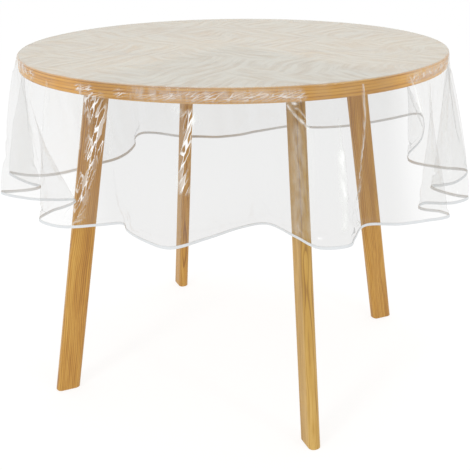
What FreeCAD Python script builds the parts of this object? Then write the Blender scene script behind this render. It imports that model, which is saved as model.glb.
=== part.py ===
import FreeCAD, Part
import math
import os

# A round dining table under a clear vinyl cloth.
# Millimetres. The origin is on the floor under the centre of the top, +Z up.
# -Y is the front and +X the right; an azimuth is counted from +X towards +Y.

# ---- Driving dimensions -------------------------------------------------------------------
TABLE_HEIGHT = 750.0
TOP_DIAMETER = 914.0
TOP_THICKNESS = 29.0
CLOTH_DIAMETER = 1524.0

# ---- Tabletop: a core board between two veneers, with a solid oak band round it -----------
VENEER = 1.0
BAND_THICKNESS = 3.0
BAND_EDGE_RADIUS = 2.4

# ---- Legs: rounded flat section, long side towards the centre, leaning outwards -----------
# The azimuths of each leg's top and of its foot. Hand-fitted legs lean a little sideways.
LEG_AZIMUTHS = {
    "front": (-67.4, -69.2),
    "right": (22.6, 23.8),
    "back": (112.0, 112.0),
    "left": (202.6, 203.8),
}
FOOT_RADIUS = 426.0
LEG_TOP_RADIUS = 300.0
FOOT_SECTION = (53.0, 26.0, 11.0)
LEG_TOP_SECTION = (52.0, 22.0, 9.0)
FOOT_BEVEL = 1.5

# ---- Leg plates and their fasteners -------------------------------------------------------
PLATE_SECTION = (100.0, 62.0, 8.0)
PLATE_THICKNESS = 3.0
SCREW_SPACING = (76.0, 44.0)
SCREW_RADIUS = 2.0
SCREW_HEAD = (4.2, 2.4)
SCREW_DEPTH = 16.0
SCREW_TIP = 4.0
DRIVE_SLOT = (1.2, 1.0)
BOLT_SPACING = 26.0
BOLT_RADIUS = 3.0
BOLT_LENGTH = 22.0
BOLT_HEAD_RADIUS = 5.6
BOLT_SOCKET = (2.2, 2.0)
INSERT_RADIUS = 4.5
INSERT_LENGTH = 15.0
INSERT_CHAMFER = 0.5
BOLT_HOLE_DEPTH = 26.0
BOLT_CLEARANCE = 0.3

# ---- Cloth: one disc of film that lies on the top and hangs in folds over its edge --------
FILM_THICKNESS = 1.5
FILM_GAP = 0.4
STRAIGHT_HANG = 2.0
# Each fold: azimuth of its crest, how far it stands out there, half its width in degrees.
FOLDS = [
    (-64.0, 20.0, 15.0),
    (-35.0, 62.0, 11.0),
    (-19.0, 64.0, 9.0),
    (0.0, 76.0, 13.0),
    (36.0, 168.0, 27.0),
    (68.0, 40.0, 12.0),
    (121.0, 30.0, 12.0),
    (177.0, 68.0, 11.0),
    (193.0, 63.0, 10.0),
    (216.0, 24.0, 12.0),
    (254.0, 10.0, 18.0),
]
FOLD_STATIONS = 180
BINDING_WIDTH = 5.0
BINDING_WALL = 1.5

# ---- Worked out from the sizes above ------------------------------------------------------
TOP_RADIUS = TOP_DIAMETER / 2.0
BOARD_RADIUS = TOP_RADIUS - BAND_THICKNESS
UNDERSIDE_Z = TABLE_HEIGHT - TOP_THICKNESS
PLATE_Z = UNDERSIDE_Z - PLATE_THICKNESS
OVERHANG = (CLOTH_DIAMETER - TOP_DIAMETER) / 2.0
UP = FreeCAD.Vector(0, 0, 1)
ORIGIN = FreeCAD.Vector(0, 0, 0)


def turned(shape, azimuth):
    """A copy of a shape that was drawn along +X, turned to an azimuth."""
    copy = shape.copy()
    copy.rotate(ORIGIN, UP, azimuth)
    return copy


def rounded_section(section, centre_x, z, inset=0.0):
    """A closed wire, the rounded rectangle of a (length, width, corner) section, level at z."""
    length, width, corner = section
    half_length = length / 2.0 - inset
    half_width = width / 2.0 - inset
    radius = corner - inset
    edges = []
    for quarter in range(4):
        start = math.radians(90.0 * quarter)
        sign_x = 1 if quarter in (0, 3) else -1
        sign_y = 1 if quarter in (0, 1) else -1
        middle_x = centre_x + sign_x * (half_length - radius)
        middle_y = sign_y * (half_width - radius)
        arc_points = []
        for step in (0.0, math.pi / 4.0, math.pi / 2.0):
            x = middle_x + radius * math.cos(start + step)
            y = middle_y + radius * math.sin(start + step)
            arc_points.append(FreeCAD.Vector(x, y, z))
        if edges:
            edges.append(Part.LineSegment(last_point, arc_points[0]).toShape())
        else:
            first_point = arc_points[0]
        edges.append(Part.Arc(*arc_points).toShape())
        last_point = arc_points[2]
    edges.append(Part.LineSegment(last_point, first_point).toShape())
    return Part.Wire(edges)


def disc(radius, low_z, high_z):
    """A flat disc about the table's axis."""
    return Part.makeCylinder(radius, high_z - low_z, FreeCAD.Vector(0, 0, low_z))


def spread(spacing_x, spacing_y):
    """The points of a plate's fastener pattern, about the middle of a leg's top."""
    points = []
    for x in (-spacing_x / 2.0, spacing_x / 2.0):
        for y in sorted({-spacing_y / 2.0, spacing_y / 2.0}):
            points.append((LEG_TOP_RADIUS + x, y))
    return points


SCREW_POINTS = spread(*SCREW_SPACING)
BOLT_POINTS = spread(BOLT_SPACING, 0.0)


def drilled(shape, points, radius, low_z, depth):
    """A shape with a straight hole upwards from low_z at each point."""
    for x, y in points:
        hole = Part.makeCylinder(radius, depth, FreeCAD.Vector(x, y, low_z))
        shape = shape.cut(hole)
    return shape


# ---- Tabletop -----------------------------------------------------------------------------
def edge_band():
    """The solid oak ring round the board, both of its outer edges rounded over."""
    ring = disc(TOP_RADIUS, UNDERSIDE_Z, TABLE_HEIGHT)
    outer_edges = [edge for edge in ring.Edges if isinstance(edge.Curve, Part.Circle)]
    rounded = ring.makeFillet(BAND_EDGE_RADIUS, outer_edges)
    return rounded.cut(disc(BOARD_RADIUS, UNDERSIDE_Z, TABLE_HEIGHT))


def with_pilot_holes(board):
    """A board of the top, with the holes that the plates' screws cut in it."""
    for azimuth, _ in LEG_AZIMUTHS.values():
        holes = [Part.makeCylinder(SCREW_RADIUS, SCREW_DEPTH, FreeCAD.Vector(x, y, UNDERSIDE_Z))
                 for x, y in SCREW_POINTS]
        for hole in holes:
            board = board.cut(turned(hole, azimuth))
    return board


def tabletop():
    """The four pieces of the tabletop, by name."""
    core_low = UNDERSIDE_Z + VENEER
    core_high = TABLE_HEIGHT - VENEER
    return {
        "edge_band": edge_band(),
        "tabletop_core": with_pilot_holes(disc(BOARD_RADIUS, core_low, core_high)),
        "top_veneer": disc(BOARD_RADIUS, core_high, TABLE_HEIGHT),
        "underside_veneer": with_pilot_holes(disc(BOARD_RADIUS, UNDERSIDE_Z, core_low)),
    }


# ---- One leg and its fittings, drawn along +X ---------------------------------------------
def leg(sway):
    """A solid oak leg: it tapers and leans, its foot is cut level and bevelled.

    The foot's azimuth is sway degrees past the top's.
    """
    lean = (LEG_TOP_RADIUS - FOOT_RADIUS) / PLATE_Z
    sections = [
        turned(rounded_section(FOOT_SECTION, FOOT_RADIUS, 0.0, FOOT_BEVEL), sway),
        turned(rounded_section(FOOT_SECTION, FOOT_RADIUS + lean * FOOT_BEVEL, FOOT_BEVEL), sway),
        rounded_section(LEG_TOP_SECTION, LEG_TOP_RADIUS, PLATE_Z),
    ]
    solid = Part.makeLoft(sections, True, True)
    solid = drilled(solid, BOLT_POINTS, INSERT_RADIUS, PLATE_Z - INSERT_LENGTH, INSERT_LENGTH)
    clearance = BOLT_RADIUS + BOLT_CLEARANCE
    return drilled(solid, BOLT_POINTS, clearance, PLATE_Z - BOLT_HOLE_DEPTH, BOLT_HOLE_DEPTH)


def leg_plate():
    """The steel plate between a leg and the top, countersunk from above for the leg's bolts."""
    outline = Part.Face(rounded_section(PLATE_SECTION, LEG_TOP_RADIUS, PLATE_Z))
    plate = outline.extrude(UP * PLATE_THICKNESS)
    plate = drilled(plate, SCREW_POINTS, SCREW_RADIUS, PLATE_Z, PLATE_THICKNESS)
    for x, y in BOLT_POINTS:
        base = FreeCAD.Vector(x, y, PLATE_Z)
        plate = plate.cut(Part.makeCone(BOLT_RADIUS, BOLT_HEAD_RADIUS, PLATE_THICKNESS, base))
    return plate


def plate_screw(x, y):
    """A slotted pan-head wood screw, driven up through the plate into the top."""
    head_radius, head_height = SCREW_HEAD
    slot_width, slot_depth = DRIVE_SLOT
    head = Part.makeCylinder(head_radius, head_height, FreeCAD.Vector(x, y, PLATE_Z - head_height))
    lower_rim = [edge for edge in head.Edges
                 if isinstance(edge.Curve, Part.Circle) and edge.CenterOfMass.z < PLATE_Z - 1.0]
    head = head.makeFillet(head_height / 2.0, lower_rim)
    slot_low = FreeCAD.Vector(x - head_radius, y - slot_width / 2.0, PLATE_Z - head_height)
    head = head.cut(Part.makeBox(2.0 * head_radius, slot_width, slot_depth, slot_low))
    straight = PLATE_THICKNESS + SCREW_DEPTH - SCREW_TIP
    shank = Part.makeCylinder(SCREW_RADIUS, straight, FreeCAD.Vector(x, y, PLATE_Z))
    tip = Part.makeCone(SCREW_RADIUS, 0.0, SCREW_TIP, FreeCAD.Vector(x, y, PLATE_Z + straight))
    return head.fuse(shank).fuse(tip).removeSplitter()


def leg_bolt(x, y):
    """A countersunk socket bolt: its head is flush in the plate, its end is in the insert."""
    head_base = FreeCAD.Vector(x, y, PLATE_Z)
    head = Part.makeCone(BOLT_RADIUS, BOLT_HEAD_RADIUS, PLATE_THICKNESS, head_base)
    shank_base = FreeCAD.Vector(x, y, UNDERSIDE_Z - BOLT_LENGTH)
    shank = Part.makeCylinder(BOLT_RADIUS, BOLT_LENGTH - PLATE_THICKNESS, shank_base)
    across, depth = BOLT_SOCKET
    corners = []
    for corner in range(7):
        angle = math.radians(60.0 * corner)
        corners.append(FreeCAD.Vector(x + across * math.cos(angle),
                                      y + across * math.sin(angle), UNDERSIDE_Z - depth))
    socket = Part.Face(Part.makePolygon(corners)).extrude(UP * depth)
    return head.fuse(shank).cut(socket).removeSplitter()


def leg_insert(x, y):
    """A threaded brass sleeve, sunk flush in the leg's top."""
    base = FreeCAD.Vector(x, y, PLATE_Z - INSERT_LENGTH)
    sleeve = Part.makeCylinder(INSERT_RADIUS, INSERT_LENGTH, base)
    rims = [edge for edge in sleeve.Edges if isinstance(edge.Curve, Part.Circle)]
    sleeve = sleeve.makeChamfer(INSERT_CHAMFER, rims)
    return sleeve.cut(Part.makeCylinder(BOLT_RADIUS, INSERT_LENGTH, base))


def leg_set(name, azimuth, foot_azimuth):
    """The pieces of one leg, turned to its place: leg, plate, screws, bolts and inserts."""
    groups = {
        "leg_" + name: leg(foot_azimuth - azimuth),
        "leg_plate_" + name: leg_plate(),
        "plate_screws_" + name: Part.makeCompound([plate_screw(x, y) for x, y in SCREW_POINTS]),
        "leg_bolts_" + name: Part.makeCompound([leg_bolt(x, y) for x, y in BOLT_POINTS]),
        "leg_inserts_" + name: Part.makeCompound([leg_insert(x, y) for x, y in BOLT_POINTS]),
    }
    return {node: turned(shape, azimuth) for node, shape in groups.items()}


# ---- Cloth --------------------------------------------------------------------------------
def hem_reach(azimuth):
    """How far outside the table's edge the hem hangs: a raised cosine for each fold."""
    reach = STRAIGHT_HANG
    for crest, height, half_width in FOLDS:
        offset = (azimuth - crest + 180.0) % 360.0 - 180.0
        if abs(offset) < half_width:
            reach += height * (1.0 + math.cos(math.pi * offset / half_width)) / 2.0
    return reach


def hem_point(azimuth):
    """The inner side of the hem: the overhang's length of film, straight from the edge."""
    reach = hem_reach(azimuth)
    radius = TOP_RADIUS + FILM_GAP + reach
    drop = math.sqrt(OVERHANG ** 2 - reach ** 2)
    angle = math.radians(azimuth)
    height = TABLE_HEIGHT + FILM_GAP - drop
    return FreeCAD.Vector(radius * math.cos(angle), radius * math.sin(angle), height)


def wall_point(azimuth, along, out):
    """A point of the hanging film: along is down from the edge, out is off its inner side."""
    angle = math.radians(azimuth)
    radial = FreeCAD.Vector(math.cos(angle), math.sin(angle), 0.0)
    rim = radial * (TOP_RADIUS + FILM_GAP) + UP * (TABLE_HEIGHT + FILM_GAP)
    hem = hem_point(azimuth)
    step = 180.0 / FOLD_STATIONS
    outward = (hem_point(azimuth + step) - hem_point(azimuth - step)).cross(UP)
    outward.normalize()
    share = along / OVERHANG
    normal = radial * (1.0 - share) + outward * share
    return rim + (hem - rim) * share + normal * out


def ring_curve(along, out, raised=0.0):
    """A closed smooth curve round the cloth at one distance down and one distance out.

    Its parameter is the azimuth's share of a turn, so that ruled faces join equal azimuths.
    """
    points = []
    for station in range(FOLD_STATIONS):
        points.append(wall_point(station * 360.0 / FOLD_STATIONS, along, out) + UP * raised)
    shares = [station / FOLD_STATIONS for station in range(FOLD_STATIONS + 1)]
    curve = Part.BSplineCurve()
    curve.interpolate(Points=points, PeriodicFlag=True, Parameters=shares)
    return curve.toShape()


def solid_from(faces):
    """A closed solid from faces that meet edge to edge."""
    shell = Part.makeShell(faces)
    shell.sewShape()
    solid = Part.makeSolid(shell)
    solid.fix(0.01, 0.01, 0.01)
    if solid.Volume < 0:
        solid.reverse()
    return solid


def film_sheet():
    """The whole sheet as one thin solid: two discs, an inner and an outer wall, and the hem."""
    inner_rim = ring_curve(0.0, 0.0)
    outer_rim = ring_curve(0.0, FILM_THICKNESS, FILM_THICKNESS)
    inner_hem = ring_curve(OVERHANG, 0.0)
    outer_hem = ring_curve(OVERHANG, FILM_THICKNESS)
    faces = [
        Part.Face(Part.Wire([inner_rim])),
        Part.Face(Part.Wire([outer_rim])),
        Part.makeRuledSurface(inner_rim, inner_hem),
        Part.makeRuledSurface(inner_hem, outer_hem),
        Part.makeRuledSurface(outer_hem, outer_rim),
    ]
    return solid_from(faces)


def hem_binding():
    """The white tape folded over the sheet's edge, a channel section all the way round."""
    top = OVERHANG - BINDING_WIDTH
    bottom = OVERHANG + BINDING_WALL
    outside = FILM_THICKNESS + BINDING_WALL
    profile = [
        (top, FILM_THICKNESS),
        (top, outside),
        (bottom, outside),
        (bottom, -BINDING_WALL),
        (top, -BINDING_WALL),
        (top, 0.0),
        (OVERHANG, 0.0),
        (OVERHANG, FILM_THICKNESS),
    ]
    curves = [ring_curve(along, out) for along, out in profile]
    faces = []
    for index, curve in enumerate(curves):
        faces.append(Part.makeRuledSurface(curves[index - 1], curve))
    return solid_from(faces)


def main():
    """Makes every piece and writes one STEP file for each."""
    nodes = tabletop()
    for name, azimuths in LEG_AZIMUTHS.items():
        nodes.update(leg_set(name, *azimuths))
    nodes["clear_film_sheet"] = film_sheet()
    nodes["hem_binding"] = hem_binding()
    os.makedirs("parts", exist_ok=True)
    for node, shape in nodes.items():
        shape.exportStep(os.path.join("parts", node + ".step"))
        print(node, "solids", len(shape.Solids), "valid", shape.isValid(),
              "volume", round(shape.Volume))


main()
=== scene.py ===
"""A clear vinyl cloth, draped in folds over a round oak table with four leaning legs.

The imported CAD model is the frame. The tabletop, the legs and their fittings keep their CAD shapes and
get their finishes here. The cloth, its binding tape and the stitches are made here as numpy surfaces.
Lengths are metres. The table's axis is Z, -Y is the front and +X the right.
"""
import logging
import math
from dataclasses import dataclass, field, replace
from enum import Enum

import bpy
import numpy as np
from mathutils import Matrix, Vector


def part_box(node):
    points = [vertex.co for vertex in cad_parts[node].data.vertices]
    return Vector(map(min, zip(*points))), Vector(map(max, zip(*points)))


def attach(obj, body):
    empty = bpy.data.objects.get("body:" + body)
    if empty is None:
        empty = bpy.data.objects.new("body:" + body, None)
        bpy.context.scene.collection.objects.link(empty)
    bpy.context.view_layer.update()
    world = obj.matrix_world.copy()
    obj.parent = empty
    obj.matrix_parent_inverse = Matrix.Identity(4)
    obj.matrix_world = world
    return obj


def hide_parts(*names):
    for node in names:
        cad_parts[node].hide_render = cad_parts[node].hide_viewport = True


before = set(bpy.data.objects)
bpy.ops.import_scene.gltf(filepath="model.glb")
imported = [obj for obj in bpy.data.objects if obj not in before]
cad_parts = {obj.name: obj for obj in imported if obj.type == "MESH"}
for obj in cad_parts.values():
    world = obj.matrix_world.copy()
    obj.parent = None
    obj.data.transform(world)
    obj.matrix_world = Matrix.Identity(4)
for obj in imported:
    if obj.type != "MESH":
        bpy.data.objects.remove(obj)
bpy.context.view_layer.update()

log = logging.getLogger("scene")
logging.basicConfig(level=logging.INFO, format="%(message)s")

Array = np.ndarray
Colour = tuple[float, float, float, float]
MM = 0.001


# ---- Small tools ----------------------------------------------------------------------------
def linear(hex_colour: str) -> Colour:
    """Turns an sRGB hex colour to linear RGBA.

    Args:
        hex_colour: the colour, such as "#c8a060".

    Returns:
        Red, green, blue and an alpha of one, in linear light.
    """
    values = [int(hex_colour[i:i + 2], 16) / 255.0 for i in (1, 3, 5)]
    parts = [v / 12.92 if v <= 0.04045 else ((v + 0.055) / 1.055) ** 2.4 for v in values]
    return parts[0], parts[1], parts[2], 1.0


def add_node(tree: bpy.types.NodeTree, kind: str, settings: dict | None = None,
             links: dict | None = None) -> bpy.types.Node:
    """Adds a node, sets it up and links its inputs.

    Args:
        tree: the material's or the world's node tree.
        kind: the node's type name.
        settings: values by input name or number, or by the node's own property name.
        links: output sockets by the name or number of the input that each one feeds.

    Returns:
        The new node.
    """
    made = tree.nodes.new(kind)
    for key, value in (settings or {}).items():
        if isinstance(key, str) and hasattr(made, key):
            setattr(made, key, value)
        else:
            made.inputs[key].default_value = value
    for key, socket in (links or {}).items():
        tree.links.new(socket, made.inputs[key])
    return made


def new_material(name: str) -> tuple[bpy.types.Material, bpy.types.NodeTree]:
    """Makes an empty node material.

    Args:
        name: what the real material is.

    Returns:
        The material and its node tree, with nothing in it.
    """
    material = bpy.data.materials.new(name)
    material.use_nodes = True
    material.node_tree.nodes.clear()
    return material, material.node_tree


def ramp(tree: bpy.types.NodeTree, factor: bpy.types.NodeSocket,
         stops: list[tuple[float, str]]) -> bpy.types.NodeSocket:
    """Adds a colour ramp.

    Args:
        tree: the node tree.
        factor: the socket that drives the ramp.
        stops: (position, sRGB hex colour) pairs in order.

    Returns:
        The ramp's colour socket.
    """
    made = add_node(tree, "ShaderNodeValToRGB", links={"Fac": factor})
    elements = made.color_ramp.elements
    while len(elements) < len(stops):
        elements.new(0.5)
    for element, (position, colour) in zip(elements, stops):
        element.position = position
        element.color = linear(colour)
    return made.outputs["Color"]


def mesh_object(name: str, points: Array, faces: Array, uv: Array | None = None,
                smooth: bool = True) -> bpy.types.Object:
    """Makes a mesh object at the origin from whole arrays.

    Args:
        name: the object's name.
        points: vertices, one row each.
        faces: vertex numbers, one row of four for each face; a triangle repeats its last number.
        uv: one (u, v) row for each vertex, or None.
        smooth: True for smooth shading.

    Returns:
        The object, linked to the scene.
    """
    triangle = faces[:, 2] == faces[:, 3]
    sizes = np.where(triangle, 3, 4)
    keep = np.ones(faces.shape, bool)
    keep[triangle, 3] = False
    loops = faces[keep]
    mesh = bpy.data.meshes.new(name)
    mesh.vertices.add(len(points))
    mesh.vertices.foreach_set("co", np.asarray(points, np.float32).ravel())
    mesh.loops.add(len(loops))
    mesh.loops.foreach_set("vertex_index", loops.astype(np.int32))
    mesh.polygons.add(len(faces))
    mesh.polygons.foreach_set("loop_start", np.r_[0, np.cumsum(sizes)[:-1]].astype(np.int32))
    mesh.polygons.foreach_set("use_smooth", np.full(len(faces), smooth))
    mesh.update(calc_edges=True)
    if uv is not None:
        layer = mesh.uv_layers.new(name="UVMap")
        layer.data.foreach_set("uv", np.asarray(uv, np.float32)[loops].ravel())
    mesh.validate()
    made = bpy.data.objects.new(name, mesh)
    bpy.context.scene.collection.objects.link(made)
    return made


def grid_faces(rows: int, columns: int) -> Array:
    """Quads of a grid whose columns close on themselves, numbered row by row.

    Args:
        rows: how many rows of points.
        columns: how many points round each row.

    Returns:
        Faces, one row of four vertex numbers each.
    """
    row, column = np.meshgrid(np.arange(rows - 1), np.arange(columns), indexing="ij")
    after = (column + 1) % columns
    corners = [row * columns + column, (row + 1) * columns + column,
               (row + 1) * columns + after, row * columns + after]
    return np.stack([c.ravel() for c in corners], axis=1)


def smoothstep(x: Array) -> Array:
    """Three x squared less two x cubed, with x held between nought and one."""
    x = np.clip(x, 0.0, 1.0)
    return x * x * (3.0 - 2.0 * x)


def between(places: Array, known: Array, rows: Array) -> Array:
    """Reads rows of values at places between those where they are known, in straight lines.

    Args:
        places: where to read them, none before the first known place.
        known: the places of the rows, in rising order.
        rows: the values, one row or block for each known place.

    Returns:
        One row or block for each place.
    """
    first = np.clip(np.searchsorted(known, places, side="right") - 1, 0, len(known) - 2)
    shape = (-1,) + (1,) * (rows.ndim - 1)
    slope = (rows[first + 1] - rows[first]) / (known[first + 1] - known[first]).reshape(shape)
    return slope * (places - known[first]).reshape(shape) + rows[first]


def dress(target: bpy.types.Object, material: bpy.types.Material) -> None:
    """Gives an object one material in every slot."""
    if not target.material_slots:
        target.data.materials.append(material)
    for place in target.material_slots:
        place.material = material


# ---- Finishes -------------------------------------------------------------------------------
class Grain(Enum):
    """Which way the grain of an oak piece runs."""

    ALONG_X = "along X, as on the veneered faces"
    ALONG_LEG = "up the leaning leg"
    ROUND_RIM = "round the rim, as on a bent edge band"


@dataclass(frozen=True)
class Oak:
    """Light oak under a satin lacquer, sawn and sanded.

    The log is a set of rings about an axis along the grain, so a face cut along it shows straight
    lines, and the arches of a flat-sawn board where the rings lean. Dark pores are short dashes
    along the grain.

    Attributes:
        name: the material's name.
        grain: which way the grain runs.
        light: sRGB colour of the early wood.
        middle: sRGB colour of most of the wood.
        dark: sRGB colour of the late wood's lines.
        azimuth: the leg's azimuth in radians, for grain along a leg.
        lean: the leg's lean in radians, for grain along a leg.
        radius: the rim's radius in metres, for grain round the rim.
        heart: where the log's centre lies across the grain, in metres.
        ring: the spacing of the year rings in metres.
        sway: how far the log bends from straight, in metres.
    """

    name: str
    grain: Grain
    light: str = "#cb9e49"
    middle: str = "#b98531"
    dark: str = "#8f5d1e"
    azimuth: float = 0.0
    lean: float = 0.0
    radius: float = 0.457
    heart: tuple[float, float] = (0.05, 0.03)
    ring: float = 3.6 * MM
    sway: float = 0.03

    def coordinates(self, tree: bpy.types.NodeTree) -> bpy.types.NodeSocket:
        """Adds nodes that give metres in the grain's own directions.

        Args:
            tree: the material's node tree.

        Returns:
            A vector socket whose X and Y run across the grain and whose Z runs along it.
        """
        place = add_node(tree, "ShaderNodeTexCoord").outputs["Object"]
        if self.grain is Grain.ALONG_LEG:
            turned = add_node(tree, "ShaderNodeMapping",
                              {"vector_type": "POINT", "Rotation": (0.0, 0.0, -self.azimuth)},
                              {"Vector": place}).outputs[0]
            return add_node(tree, "ShaderNodeMapping",
                            {"vector_type": "POINT", "Rotation": (0.0, self.lean, 0.0)},
                            {"Vector": turned}).outputs[0]
        if self.grain is Grain.ALONG_X:
            return add_node(tree, "ShaderNodeMapping",
                            {"vector_type": "POINT", "Rotation": (0.0, -math.pi / 2.0, 0.0)},
                            {"Vector": place}).outputs[0]
        part = add_node(tree, "ShaderNodeSeparateXYZ", links={0: place})
        front = add_node(tree, "ShaderNodeMath", {"operation": "MULTIPLY", 1: -1.0},
                         {0: part.outputs["Y"]}).outputs[0]
        turn = add_node(tree, "ShaderNodeMath", {"operation": "ARCTAN2"},
                        {0: part.outputs["X"], 1: front}).outputs[0]
        along = add_node(tree, "ShaderNodeMath", {"operation": "MULTIPLY", 1: self.radius},
                         {0: turn}).outputs[0]
        flat = add_node(tree, "ShaderNodeVectorMath", {"operation": "MULTIPLY", 1: (1.0, 1.0, 0.0)},
                        {0: place}).outputs[0]
        out = add_node(tree, "ShaderNodeVectorMath", {"operation": "LENGTH"},
                       {0: flat}).outputs["Value"]
        return add_node(tree, "ShaderNodeCombineXYZ",
                        links={0: out, 1: part.outputs["Z"], 2: along}).outputs[0]

    def material(self) -> bpy.types.Material:
        """Builds the oak: ring lines, soft streaks, pores and a satin coat.

        Returns:
            The material.
        """
        made, tree = new_material(self.name)
        place = self.coordinates(tree)
        # A slow bend of the log along the grain turns straight lines to long arches.
        bend = add_node(tree, "ShaderNodeTexNoise", {"Scale": 1.0, "Detail": 2.0, "Roughness": 0.5}, {
            "Vector": add_node(tree, "ShaderNodeVectorMath",
                               {"operation": "MULTIPLY", 1: (9.0, 9.0, 2.6)}, {0: place}).outputs[0]})
        sway = add_node(tree, "ShaderNodeVectorMath",
                        {"operation": "MULTIPLY_ADD", 1: (self.sway, self.sway, 0.0),
                         2: (-self.sway / 2.0 - self.heart[0], -self.sway / 2.0 - self.heart[1], 0.0)},
                        {0: bend.outputs["Color"]}).outputs[0]
        log_place = add_node(tree, "ShaderNodeVectorMath", {"operation": "ADD"},
                             {0: place, 1: sway}).outputs[0]
        across = add_node(tree, "ShaderNodeVectorMath",
                          {"operation": "MULTIPLY", 1: (1.0, 1.0, 0.0)}, {0: log_place}).outputs[0]
        depth = add_node(tree, "ShaderNodeVectorMath", {"operation": "LENGTH"},
                         {0: across}).outputs["Value"]
        rings = add_node(tree, "ShaderNodeMath", {"operation": "MULTIPLY", 1: 1.0 / self.ring},
                         {0: depth}).outputs[0]
        year = add_node(tree, "ShaderNodeMath", {"operation": "FRACT"}, {0: rings}).outputs[0]
        # Streaks 4 mm by 140 mm, broad bands 22 mm by 330 mm, the board's own light and dark, and
        # pores drawn 1 mm by 18 mm, coarser than the real 0.3 mm, so that they show.
        marks = []
        for size, detail, roughness in (((230.0, 230.0, 7.0), 3.0, 0.6), ((45.0, 45.0, 3.0), 2.0, 0.5),
                                        ((900.0, 900.0, 55.0), 2.0, 0.7)):
            scaled = add_node(tree, "ShaderNodeVectorMath", {"operation": "MULTIPLY", 1: size},
                              {0: log_place}).outputs[0]
            marks.append(add_node(tree, "ShaderNodeTexNoise",
                                  {"Scale": 1.0, "Detail": detail, "Roughness": roughness},
                                  {"Vector": scaled}).outputs["Fac"])
        streak, broad, pores = marks
        late = add_node(tree, "ShaderNodeMapRange",
                        {"interpolation_type": "SMOOTHSTEP", 1: 0.45, 2: 0.95, 3: 0.0, 4: 0.32},
                        {"Value": year}).outputs[0]
        drop = add_node(tree, "ShaderNodeMapRange",
                        {"interpolation_type": "SMOOTHSTEP", 1: 0.95, 2: 1.0, 3: 1.0, 4: 0.0},
                        {"Value": year}).outputs[0]
        line = add_node(tree, "ShaderNodeMath", {"operation": "MULTIPLY"}, {0: late, 1: drop}).outputs[0]
        tone = add_node(tree, "ShaderNodeMath", {"operation": "MULTIPLY_ADD", 1: 0.9},
                        {0: streak, 2: line}).outputs[0]
        tone = add_node(tree, "ShaderNodeMath", {"operation": "MULTIPLY_ADD", 1: 0.75},
                        {0: broad, 2: tone}).outputs[0]
        tone = add_node(tree, "ShaderNodeMapRange", {1: 0.62, 2: 1.3, 3: 0.0, 4: 1.0},
                        {"Value": tone}).outputs[0]
        wood = ramp(tree, tone, [(0.0, self.light), (0.5, self.middle), (1.0, self.dark)])
        dash = add_node(tree, "ShaderNodeMapRange", {1: 0.60, 2: 0.74, 3: 0.0, 4: 0.30},
                        {"Value": pores}).outputs[0]
        colour = add_node(tree, "ShaderNodeMix",
                          {"data_type": "RGBA", "blend_type": "MULTIPLY", 7: linear("#a8794a")},
                          {0: dash, 6: wood}).outputs[2]
        rough = add_node(tree, "ShaderNodeMapRange", {1: 0.3, 2: 0.7, 3: 0.38, 4: 0.52},
                         {"Value": streak}).outputs[0]
        bump = add_node(tree, "ShaderNodeBump", {"Strength": 0.25, "Distance": 0.0003, "invert": True},
                        {"Height": pores}).outputs[0]
        shader = add_node(tree, "ShaderNodeBsdfPrincipled",
                          {"IOR": 1.48, "Coat Weight": 0.15, "Coat Roughness": 0.3},
                          {"Base Color": colour, "Roughness": rough, "Normal": bump})
        add_node(tree, "ShaderNodeOutputMaterial", links={"Surface": shader.outputs[0]})
        return made


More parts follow.
